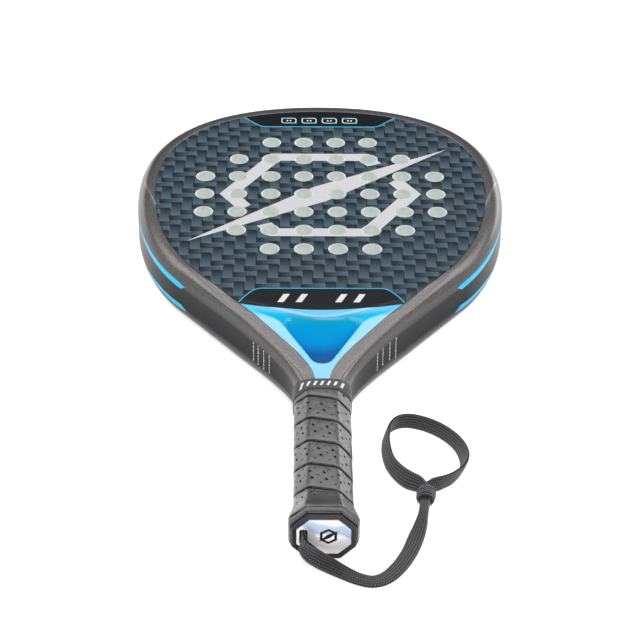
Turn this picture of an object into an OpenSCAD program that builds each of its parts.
// Padel racket: a perforated foam core between two laminates, framed by one hollow
// composite tube whose legs run down into an octagonal handle, with a moulded throat
// insert around the open throat, a taped grip, a butt cap and a wrist lace.
// Millimetres. +Y runs from the butt to the tip and +Z is the face that looks up.
// The origin is under the middle of the racket, on the surface that it lies on.

/* [Racket] */
// Overall length from butt to tip
overall_l = 455; // [445:1:460]
// Width of the head
head_w = 247; // [240:1:252]
// Thickness of the head
head_t = 36; // [35:0.5:38]

/* [Face] */
// Diameter of the drilled holes
hole_d = 13; // [9:0.5:13]
// Distance between the centres of neighbouring holes
hole_pitch = 22.3; // [20:0.1:22.5]
// Thickness of each laminate
face_t = 1; // [0.6:0.1:2]

/* [Frame] */
// Width of the frame tube around the head
rim_w = 12; // [11:0.5:13]
// Wall of the frame tube
tube_wall = 1.8; // [1.2:0.1:2.4]
// Rounding of the frame's outer edges
rim_round = 8.5; // [6:0.5:9]

/* [Handle] */
// Width of the taped grip
grip_w = 34.5; // [33:0.5:36]
// Thickness of the taped grip
grip_h = 29.3; // [28:0.1:30]
// Thickness of the grip tape
tape_t = 1.65; // [1.4:0.05:1.8]
// Width of the butt cap's end
cap_w = 38.5; // [37.5:0.5:39]
// Height of the butt cap's end
cap_h = 32.6; // [31.5:0.1:33]

/* [Wrist lace] */
// Width of the flat lace
lace_w = 9.6; // [8:0.2:10]
// Thickness of the flat lace
lace_t = 2.2; // [1.6:0.1:2.4]

/* [Hidden] */
$fn = 48;

// Glue gap between parts that are bonded side by side
gap = 0.15;

// Stations along the racket
tip_y = overall_l / 2;
butt_y = -overall_l / 2;
mid_z = head_t / 2;
wide_y = tip_y - 113.5;
arm_y = tip_y - 214.5;
neck_y = tip_y - 325.5;
grid_y = tip_y - 122;

// Outline of the right half: tip to widest point, widest point to arm, arm to neck
half_w = head_w / 2;
neck_x = 16.9;
tip_curve = [[0, tip_y], [68, tip_y], [half_w, wide_y + 82], [half_w, wide_y]];
side_curve = [[half_w, wide_y], [half_w, wide_y - 59],
    [half_w - 23.5, arm_y + 8], [half_w - 30, arm_y]];
leg_curve = [[half_w - 30, arm_y], [half_w - 65, arm_y - 42.5],
    [neck_x, neck_y + 20], [neck_x, neck_y]];
tip_steps = 13;
side_steps = 8;
leg_steps = 12;

// Legs inside the handle
leg_out_x = 11.4;
leg_in_x = 2.6;
leg_half_h = 7;
leg_round = 2.5;
leg_end_y = butt_y + 27.5;
shoulder = 1.2;
neck_half_h = 14.2;
neck_tube_w = 12.4;

// Sides of the frame section and steps of its rounded corners
corner_step = 30;

// Throat: the bridge edge is an arc, the opening a rounded triangle
bridge_r = 158;
bridge_y = tip_y - 258;
bridge_wall_y = tip_y - 269.5;
bridge_bulge = 0.006;
throat_top = [17.5, tip_y - 270.7];
throat_top_r = 5;
throat_low = [0, tip_y - 302.3];
throat_low_r = 6;
throat_side_a = -27.4;

// Handle stations
collar_l = 9.8;
collar_t = 0.75;
finish_l = 6;
finish_t = 0.2;
grip_top_y = neck_y - 2.5;
pallet_top_y = neck_y - 1.6;
pallet_end_y = butt_y + 18.5;
cap_top_y = butt_y + 25.5;
cap_wall_y = butt_y + 5.5;
cap_floor_y = butt_y + 2;
tape_end_y = butt_y + 4;
facet_share = 0.585;
pallet_w = grip_w - 2 * tape_t - 2 * gap;
pallet_h = grip_h - 2 * tape_t - 2 * gap;

// Badge plate and lace slot in the butt
badge_w = 30.8;
badge_h = 24.6;
badge_t = 1.2;
slot_x = -11.5;
slot_w = 4.6;
slot_h = lace_w + 0.9;

// Staples of the butt cap
staple_w = 9;
staple_wire = 0.6;
staple_leg = 4;
staple_y = butt_y + 21.5;

// Slip knot: a short sleeve around the folded lace
knot_r = 5.5;
knot_bore_r = 3.9;
knot_l = 10;
knot_z = 5.6;
knot_top = [60.94, -170];
knot_yaw = -7.93;
fold_w = 6;
fold_t = 3.6;

// Route of the lace from the stop knot to the slip knot, each point as
// [x, y, z, roll of the band, width, thickness]. Roll 0 lies flat, 90 stands on edge.
TAIL = [
    [-9, -216, 18, 90, lace_w, lace_t],
    [-11, -221, 18, 90, lace_w, lace_t],
    [-11.5, -227, 18, 88, lace_w, lace_t],
    [-11, -231, 16, 78, lace_w, lace_t],
    [-8, -233, 11.5, 62, lace_w, lace_t],
    [-3, -233.5, 7.2, 45, lace_w, lace_t],
    [3.5, -235, 4, 25, lace_w, lace_t],
    [11, -238.5, 2, 8, lace_w, lace_t],
    [19, -243, 1.4, 0, lace_w, lace_t],
    [27.5, -245.5, 1.4, 0, lace_w, lace_t],
    [35.5, -242, 1.4, 0, lace_w, lace_t],
    [43, -232.5, 1.4, 0, lace_w, lace_t],
    [49, -220.5, 1.4, 0, lace_w, lace_t],
    [53, -209, 2, 0, lace_w, lace_t],
    [56, -200, 3.9, 0, 8, 2.8],
    [58.02, -191, knot_z, 0, fold_w, fold_t],
    [59.55, -180, knot_z, 0, fold_w, fold_t],
    [61.15, -168.5, knot_z, 0, fold_w, fold_t]];

// Route of the wrist loop from the slip knot's mouth round and back to it
LOOP = [
    [61.15, -168.5, knot_z, 0, fold_w, fold_t],
    [64.5, -165.6, 5.4, 50, 8, 2.8],
    [70, -162.6, 5, 85, lace_w, lace_t],
    [76.5, -158.3, 5, 95, lace_w, lace_t],
    [82.3, -150.5, 5, 110, lace_w, lace_t],
    [84.8, -141, 4.8, 120, lace_w, lace_t],
    [83.8, -132, 4.8, 120, lace_w, lace_t],
    [80.5, -124, 4.9, 115, lace_w, lace_t],
    [74.5, -116, 5, 112, lace_w, lace_t],
    [67.5, -109.8, 5, 110, lace_w, lace_t],
    [60, -105.6, 5, 108, lace_w, lace_t],
    [52.5, -103.6, 5, 105, lace_w, lace_t],
    [46, -105, 5, 95, lace_w, lace_t],
    [41, -110.5, 5, 80, lace_w, lace_t],
    [38.5, -120, 4.8, 68, lace_w, lace_t],
    [38.2, -131, 4.8, 62, lace_w, lace_t],
    [40.2, -143.5, 4.8, 65, lace_w, lace_t],
    [44.8, -153.5, 4.9, 70, lace_w, lace_t],
    [50.2, -161, 5, 75, lace_w, lace_t],
    [56, -165.5, 5.2, 75, 8, 2.4]];
steps_per_span = 2;

// ---- curves and sweeps ----

function bezier(p, t) =
    (1 - t) ^ 3 * p[0] + 3 * (1 - t) ^ 2 * t * p[1] + 3 * (1 - t) * t ^ 2 * p[2] + t ^ 3 * p[3];

function bezier_slope(p, t) =
    3 * (1 - t) ^ 2 * (p[1] - p[0]) + 6 * (1 - t) * t * (p[2] - p[1]) + 3 * t ^ 2 * (p[3] - p[2]);

function unit(v) = v / norm(v);

// Half the frame's thickness: full on the head, thinner down the legs
function half_h_at(y) = lookup(tip_y - y, [
    [0, mid_z], [249, mid_z], [264, mid_z - 0.6], [288, mid_z - 2],
    [308, mid_z - 3.1], [325.5, neck_half_h]]);

// Width of the frame tube seen from above
function tube_w_at(y) = lookup(tip_y - y, [
    [0, rim_w + 0.6], [60, rim_w], [200, rim_w], [240, 9.8], [290, 10], [325.5, neck_tube_w]]);

// One station of the frame: outer point, inner point, half thickness, edge rounding
function frame_station(curve, t) =
    let (p = bezier(curve, t), s = unit(bezier_slope(curve, t)), inward = [s[1], -s[0]])
    [p, p + inward * tube_w_at(p[1]), half_h_at(p[1]), rim_round];

function handle_station(y) =
    [[leg_out_x, y], [leg_in_x, y], leg_half_h, leg_round];

right_frame = concat(
    [for (i = [0:tip_steps]) frame_station(tip_curve, i / tip_steps)],
    [for (i = [1:side_steps]) frame_station(side_curve, i / side_steps)],
    [for (i = [1:leg_steps]) frame_station(leg_curve, i / leg_steps)],
    [handle_station(neck_y - shoulder), handle_station((neck_y + leg_end_y) / 2),
        handle_station(leg_end_y)]);

function mirrored(s) = [[-s[0][0], s[0][1]], [-s[1][0], s[1][1]], s[2], s[3]];

frame_stations = concat(
    [for (i = [len(right_frame) - 1:-1:1]) mirrored(right_frame[i])], right_frame);

// Rounded frame section as [distance inward, height], inset by the wall for the cavity
function frame_section(w, h, r, inset) =
    let (q = r - inset)
    concat(
        [for (a = [0:corner_step:90]) [r - q * cos(a), h - r + q * sin(a)]],
        [[w - inset, h - inset], [w - inset, inset - h]],
        [for (a = [90:-corner_step:0]) [r - q * cos(a), r - h - q * sin(a)]]);

function frame_ring(s, inset) =
    let (inward = unit(s[1] - s[0]))
    [for (q = frame_section(norm(s[1] - s[0]), s[2], s[3], inset))
        [s[0][0] + inward[0] * q[0], s[0][1] + inward[1] * q[0], mid_z + q[1]]];

// Triangles between neighbouring rings, with their outside away from the path
function wall_faces(rings, sides, first, flip) = [
    for (i = [0:rings - 2], j = [0:sides - 1], half = [0, 1])
        let (
            a = first + i * sides + j,
            b = first + i * sides + (j + 1) % sides,
            c = b + sides,
            d = a + sides,
            tri = half == 0 ? [a, b, c] : [a, c, d])
        flip ? [tri[0], tri[2], tri[1]] : tri];

// Triangles of the flat rim between an outer and an inner ring
function rim_faces(outer, inner, sides, flip) = [
    for (j = [0:sides - 1], half = [0, 1])
        let (
            k = (j + 1) % sides,
            tri = half == 0 ? [outer + j, inner + j, inner + k] : [outer + j, inner + k, outer + k])
        flip ? [tri[0], tri[2], tri[1]] : tri];

// Hollow tube, open at both ends, through two matching lists of rings
module open_tube(outer, inner, flip = false) {
    rings = len(outer);
    sides = len(outer[0]);
    inner_first = rings * sides;
    last = (rings - 1) * sides;
    polyhedron(
        points = concat([for (r = outer) each r], [for (r = inner) each r]),
        faces = concat(
            wall_faces(rings, sides, 0, flip),
            wall_faces(rings, sides, inner_first, !flip),
            rim_faces(0, inner_first, sides, flip),
            rim_faces(last, inner_first + last, sides, !flip)));
}

// Point between p1 and p2 on a smooth curve through four points
function smooth_point(p0, p1, p2, p3, t) =
    0.5 * (2 * p1 + (p2 - p0) * t + (2 * p0 - 5 * p1 + 4 * p2 - p3) * t ^ 2
        + (3 * p1 - p0 - 3 * p2 + p3) * t ^ 3);

function smooth_route(route) =
    let (last = len(route) - 1)
    concat(
        [for (i = [0:last - 1], k = [0:steps_per_span - 1])
            smooth_point(route[max(i - 1, 0)], route[i], route[i + 1],
                route[min(i + 2, last)], k / steps_per_span)],
        [route[last]]);

function place(p) = [p[0], p[1], p[2]];

// Flattened eight-sided section of the lace, square to its route
function lace_ring(path, i) =
    let (
        last = len(path) - 1,
        ahead = unit(place(path[min(i + 1, last)]) - place(path[max(i - 1, 0)])),
        side = unit(cross([0, 0, 1], ahead)),
        up = cross(ahead, side),
        roll = path[i][3],
        across = cos(roll) * side + sin(roll) * up,
        through = cross(ahead, across),
        w = path[i][4] / 2,
        t = path[i][5] / 2)
    [for (q = [[w, -t / 2], [w, t / 2], [w * 0.84, t], [-w * 0.84, t],
            [-w, t / 2], [-w, -t / 2], [-w * 0.84, -t], [w * 0.84, -t]])
        place(path[i]) + across * q[0] + through * q[1]];

module lace(route) {
    path = smooth_route(route);
    rings = [for (i = [0:len(path) - 1]) lace_ring(path, i)];
    sides = len(rings[0]);
    last = (len(rings) - 1) * sides;
    polyhedron(
        points = [for (r = rings) each r],
        faces = concat(
            wall_faces(len(rings), sides, 0, true),
            [[for (j = [0:sides - 1]) j]],
            [[for (j = [sides - 1:-1:0]) last + j]]));
}

// ---- handle sections ----

// Corners of the handle's octagon
function octagon_points(w, h) =
    let (x = w / 2, z = h / 2, c = facet_share * z)
    [[x, z - c], [x - c, z], [c - x, z], [-x, z - c],
        [-x, c - z], [c - x, -z], [x - c, -z], [x, c - z]];

module octagon(w, h) {
    polygon(octagon_points(w, h));
}

// Extrudes a section in XZ from y = from down to y = to
module along_handle(from, to) {
    translate([0, from, mid_z])
        rotate([90, 0, 0])
            linear_extrude(from - to)
                children();
}

// Octagonal ring at a station [y, width, height]
function octagon_ring(s) =
    [for (p = octagon_points(s[1], s[2])) [p[0], s[0], mid_z + p[1]]];

// Butt cap's skirt outside, and the grip tape's two surfaces, as [y, width, height]
cap_skirt = [
    [cap_top_y, cap_w - 6.3, cap_h - 5.6],
    [cap_top_y - 8, cap_w - 5.7, cap_h - 5],
    [cap_top_y - 15, cap_w - 1.6, cap_h - 1.2],
    [cap_wall_y, cap_w, cap_h]];
skirt_inner_w = pallet_w + 2 * gap;
skirt_inner_h = pallet_h + 2 * gap;
tape_inner = concat(
    [for (y = [grip_top_y, cap_top_y + 0.5]) [y, pallet_w + 2 * gap, pallet_h + 2 * gap]],
    [for (s = [cap_skirt[0], cap_skirt[1], cap_skirt[2]])
        [s[0], s[1] + 2 * gap, s[2] + 2 * gap]],
    [[tape_end_y, cap_w + 2 * gap, cap_h + 2 * gap]]);
tape_outer = [
    [grip_top_y, grip_w, grip_h],
    [cap_top_y + 0.5, grip_w, grip_h],
    [cap_top_y, grip_w + 0.2, grip_h + 0.2],
    [cap_top_y - 8, grip_w + 2, grip_h + 2],
    [cap_top_y - 15, cap_w + 2.7, cap_h + 2.4],
    [tape_end_y, cap_w + 2.7, cap_h + 2.4]];

// ---- head ----

module frame_tube() {
    color("dimgray")
        open_tube(
            [for (s = frame_stations) frame_ring(s, 0)],
            [for (s = frame_stations) frame_ring(s, tube_wall)]);
}

// Area inside the frame tube, from the tip down to the neck
module frame_inside() {
    right = [for (i = [0:tip_steps + side_steps + leg_steps])
        let (s = right_frame[i]) s[1] + unit(s[1] - s[0]) * gap];
    left = [for (i = [len(right) - 1:-1:1]) [-right[i][0], right[i][1]]];
    polygon(concat(right, left));
}

module bridge_circle(extra) {
    translate([0, bridge_y + bridge_r])
        circle(bridge_r + extra, $fn = 180);
}

module hole_grid() {
    rows = [4, 6, 8, 8, 8, 6, 4];
    for (r = [0:len(rows) - 1], c = [0:rows[r] - 1])
        translate([(c - (rows[r] - 1) / 2) * hole_pitch, grid_y + (3 - r) * hole_pitch])
            circle(d = hole_d);
}

module perforated_sheet(thickness) {
    linear_extrude(thickness)
        difference() {
            intersection() {
                frame_inside();
                bridge_circle(0);
            }
            hole_grid();
        }
}

module foam_core() {
    color("honeydew")
        translate([0, 0, face_t])
            perforated_sheet(head_t - 2 * face_t);
}

module front_face() {
    color("slategray")
        translate([0, 0, head_t - face_t])
            perforated_sheet(face_t);
}

module rear_face() {
    color("slategray")
        perforated_sheet(face_t);
}

// Open throat seen from above
module throat_opening() {
    x_end = throat_top[0];
    bridge_edge = [for (x = [-x_end:x_end / 4:x_end]) [x, bridge_wall_y + bridge_bulge * x ^ 2]];
    right_top = [for (a = [60:-30:0]) throat_top + throat_top_r * [cos(a), sin(a)]];
    right_side = throat_top + throat_top_r * [cos(throat_side_a), sin(throat_side_a)];
    low = [for (k = [0:8])
        let (a = throat_side_a - k * (180 + 2 * throat_side_a) / 8)
        throat_low + throat_low_r * [cos(a), sin(a)]];
    polygon(concat(
        bridge_edge,
        right_top,
        [right_side],
        low,
        [[-right_side[0], right_side[1]]],
        [for (i = [len(right_top) - 1:-1:0]) [-right_top[i][0], right_top[i][1]]]));
}

// Side view of the throat's thickness, between the bridge and the neck
module throat_profile() {
    ys = [tip_y - 240, tip_y - 249, tip_y - 264, tip_y - 288, tip_y - 308, neck_y - 1];
    polygon(concat(
        [for (y = ys) [y, mid_z + half_h_at(y)]],
        [for (i = [len(ys) - 1:-1:0]) [ys[i], mid_z - half_h_at(ys[i])]]));
}

module throat_insert() {
    color("deepskyblue")
        intersection() {
            linear_extrude(head_t)
                difference() {
                    intersection() {
                        frame_inside();
                        translate([-half_w, neck_y])
                            square([head_w, arm_y - neck_y]);
                    }
                    bridge_circle(gap);
                    throat_opening();
                }
            translate([-half_w, 0, 0])
                rotate([90, 0, 90])
                    linear_extrude(head_w)
                        throat_profile();
        }
}

// ---- handle ----

module handle_spacer() {
    color("palegoldenrod")
        along_handle(pallet_top_y, leg_end_y)
            square([2 * (leg_in_x - gap), 2 * leg_half_h], center = true);
}

module pallet_half(side) {
    along_handle(pallet_top_y, pallet_end_y)
        intersection() {
            difference() {
                octagon(pallet_w, pallet_h);
                square([2 * (leg_out_x + gap), 2 * (leg_half_h + gap)], center = true);
            }
            translate([-pallet_w / 2, side > 0 ? 0 : -pallet_h])
                square([pallet_w, pallet_h]);
        }
}

module handle_pallet_front() {
    color("wheat")
        pallet_half(1);
}

module handle_pallet_rear() {
    color("burlywood")
        pallet_half(-1);
}

module lace_slot() {
    translate([slot_x, 0])
        square([slot_w, slot_h], center = true);
}

// The two staples, grown by extra for the pocket that each crown lies in
module staple_crowns(extra) {
    for (side = [1, -1])
        translate([0, staple_y, mid_z + side * (pallet_h / 2 + 2 * gap + staple_wire / 2)])
            cube([staple_w + extra, staple_wire + extra, staple_wire + extra], center = true);
}

module butt_cap() {
    skirt_inner = [for (s = cap_skirt) [s[0], skirt_inner_w, skirt_inner_h]];
    color("darkslategray")
        difference() {
            union() {
                open_tube(
                    [for (s = cap_skirt) octagon_ring(s)],
                    [for (s = skirt_inner) octagon_ring(s)],
                    true);
                along_handle(cap_wall_y, cap_floor_y)
                    difference() {
                        octagon(cap_w, cap_h);
                        lace_slot();
                    }
                along_handle(cap_floor_y, butt_y)
                    difference() {
                        octagon(cap_w, cap_h);
                        octagon(badge_w + 2 * gap, badge_h + 2 * gap);
                    }
            }
            staple_crowns(2 * gap);
        }
}

module butt_badge() {
    color("lightsteelblue")
        along_handle(cap_floor_y, cap_floor_y - badge_t)
            difference() {
                octagon(badge_w, badge_h);
                lace_slot();
            }
}

module butt_cap_staples() {
    color("silver")
        for (side = [1, -1])
            translate([0, staple_y, mid_z])
                rotate([0, side > 0 ? 0 : 180, 0]) {
                    crown_z = pallet_h / 2 + 2 * gap + staple_wire / 2;
                    translate([0, 0, crown_z])
                        cube([staple_w, staple_wire, staple_wire], center = true);
                    for (x = [-1, 1])
                        translate([x * (staple_w - staple_wire) / 2, 0, crown_z - staple_leg / 2])
                            cube([staple_wire, staple_wire, staple_leg], center = true);
                }
}

module cord_stop_knot() {
    color("black")
        translate([-8.5, butt_y + 11.7, mid_z])
            sphere(5.5);
}

module grip_tape() {
    color("gray")
        open_tube(
            [for (s = tape_outer) octagon_ring(s)],
            [for (s = tape_inner) octagon_ring(s)],
            true);
}

// Thin octagonal sleeve around the grip
module grip_sleeve(from, length, clearance, wall) {
    along_handle(from, from - length)
        difference() {
            octagon(grip_w + 2 * (clearance + wall), grip_h + 2 * (clearance + wall));
            octagon(grip_w + 2 * clearance, grip_h + 2 * clearance);
        }
}

module finishing_tape() {
    color("black")
        grip_sleeve(grip_top_y - 0.5, finish_l, 0.05, finish_t);
}

module grip_collar() {
    color("dimgray")
        grip_sleeve(neck_y - 0.6, collar_l, finish_t + 0.1, collar_t);
}

// ---- wrist lace ----

module wrist_cord_tail() {
    color("darkslategray")
        lace(TAIL);
}

module wrist_cord_loop() {
    color("darkslategray")
        lace(LOOP);
}

module slip_knot() {
    color("black")
        translate([knot_top[0], knot_top[1], knot_z])
            rotate([90, 0, knot_yaw])
                difference() {
                    cylinder(h = knot_l, r = knot_r);
                    translate([0, 0, -1])
                        cylinder(h = knot_l + 2, r = knot_bore_r);
                }
}

frame_tube();
throat_insert();
foam_core();
front_face();
rear_face();
handle_spacer();
handle_pallet_front();
handle_pallet_rear();
butt_cap();
butt_badge();
butt_cap_staples();
cord_stop_knot();
grip_tape();
finishing_tape();
grip_collar();
wrist_cord_tail();
wrist_cord_loop();
slip_knot();
